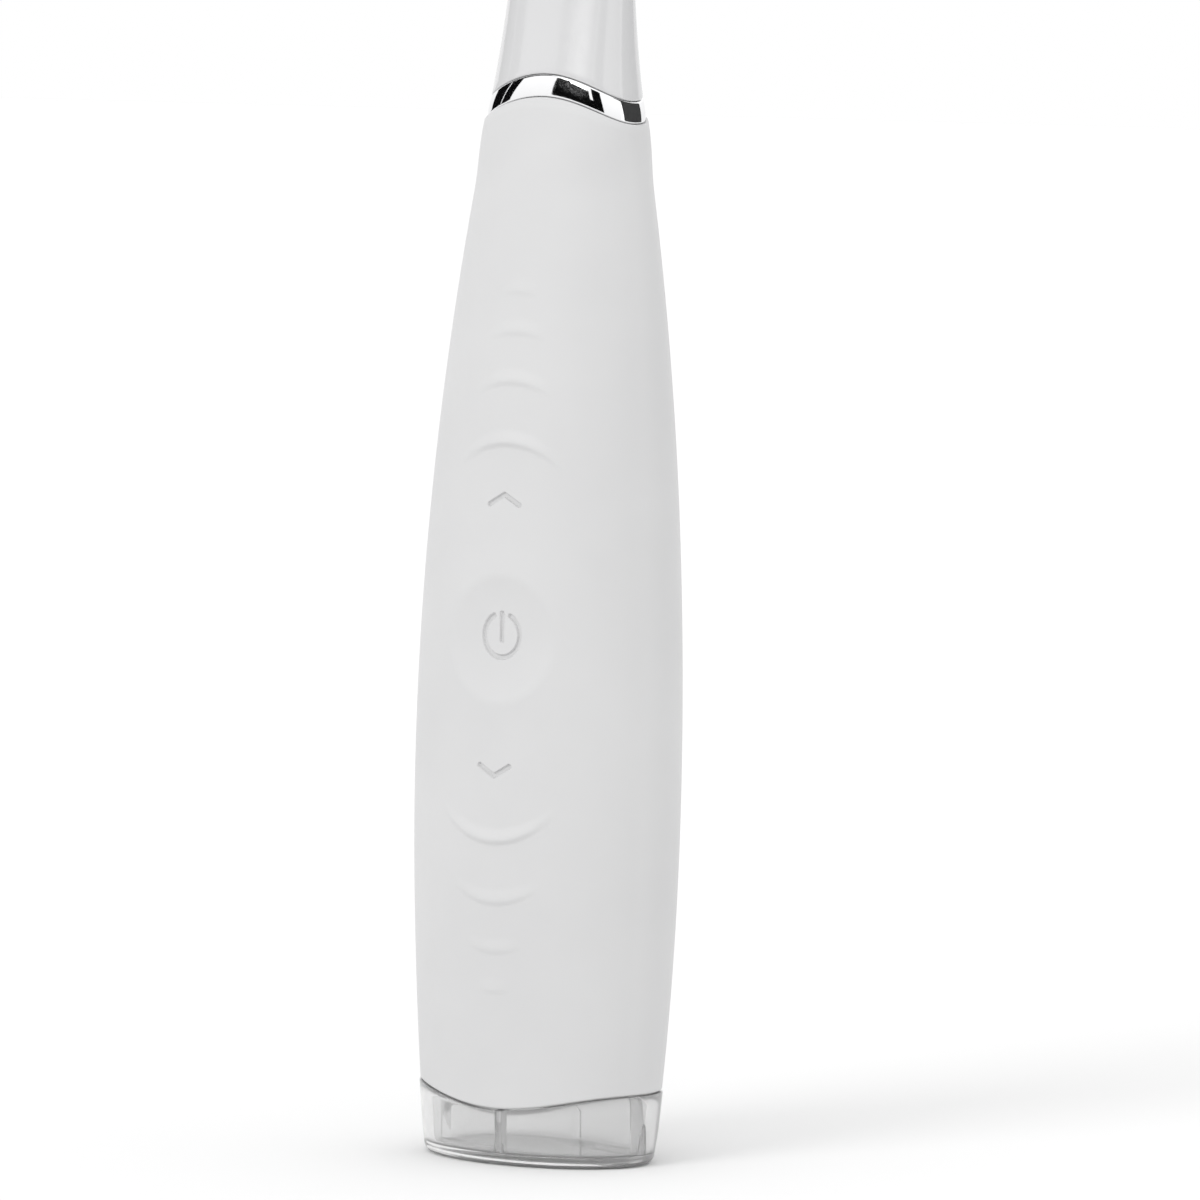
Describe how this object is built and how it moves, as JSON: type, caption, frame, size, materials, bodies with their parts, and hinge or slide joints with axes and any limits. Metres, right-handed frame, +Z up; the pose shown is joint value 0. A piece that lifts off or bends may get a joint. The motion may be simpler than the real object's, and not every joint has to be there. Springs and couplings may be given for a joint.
{
  "type": "ultrasonic skin scrubber",
  "caption": "Slim cordless skin scrubber with a soft grip, three sprung keys, a bright trim ring, a bent steel spatula blade and a clear pull-off base cap.",
  "frame": {"origin": "centre of the flat foot of the clear base cap", "axes": "+Z up the handle to the blade, -Y the front with the keys, +X to the right as seen from the front"},
  "size_m": [0.0388, 0.0272, 0.1876],
  "materials": {
    "soft_grip": "matte soft-touch white silicone",
    "white_gloss": "polished white",
    "bright_trim": "mirror chrome",
    "clear_plastic": "clear moulded plastic",
    "blade_steel": "fine brushed stainless",
    "inner_plastic": "white moulded",
    "seal_rubber": "black",
    "boot_silicone": "white silicone",
    "piezo_ceramic": "fired, silvered face",
    "screw_steel": "zinc plated",
    "lead_insulation": "red silicone insulation",
    "board_green": "solder mask",
    "black_component": "moulded component black",
    "cell_foil": "laminated foil pouch",
    "foam": "adhesive foam",
    "socket_metal": "nickel plated shell"
  },
  "bodies": {
    "handle": {"grip_sleeve": "soft_grip", "body_tube": "inner_plastic", "trim_ring": "bright_trim", "neck_shell": "white_gloss", "neck_seal": "seal_rubber", "scrubber_blade": "blade_steel", "blade_seal": "boot_silicone", "piezo_disc": "piezo_ceramic", "shank_dampers": "seal_rubber", "shank_screws": "screw_steel", "piezo_leads": "lead_insulation", "key_frame": "inner_plastic", "switch_bodies": "black_component", "main_board": "board_green", "board_chips": "black_component", "drive_transformer": "black_component", "board_screws": "screw_steel", "chassis": "inner_plastic", "battery": "cell_foil", "battery_pad": "foam", "battery_leads": "lead_insulation", "tail_plug": "inner_plastic", "tail_seal": "seal_rubber", "charge_board": "board_green", "charge_socket": "socket_metal", "charge_board_screws": "screw_steel", "charge_leads": "lead_insulation", "tail_screws": "screw_steel"},
    "power_key": {"power_button": "soft_grip", "power_plunger": "inner_plastic", "power_switch_stem": "black_component"},
    "up_key": {"up_button": "soft_grip", "up_plunger": "inner_plastic", "up_switch_stem": "black_component"},
    "down_key": {"down_button": "soft_grip", "down_plunger": "inner_plastic", "down_switch_stem": "black_component"},
    "cap": {"base_cap": "clear_plastic"}
  },
  "joints": [
    {"name": "power_press", "type": "slide", "parent": "handle", "child": "power_key", "axis": [0, 1, 0], "range_m": [0, 0.0004], "stiffness_N_per_m": 1000, "springref_m": -0.0005},
    {"name": "up_press", "type": "slide", "parent": "handle", "child": "up_key", "axis": [0, 1, 0], "range_m": [0, 0.0004], "stiffness_N_per_m": 1000, "springref_m": -0.0005},
    {"name": "down_press", "type": "slide", "parent": "handle", "child": "down_key", "axis": [0, 1, 0], "range_m": [0, 0.0004], "stiffness_N_per_m": 1000, "springref_m": -0.0005},
    {"name": "cap_pull", "type": "slide", "parent": "handle", "child": "cap", "axis": [0, 0, -1], "range_m": [0, 0.02]}
  ]
}
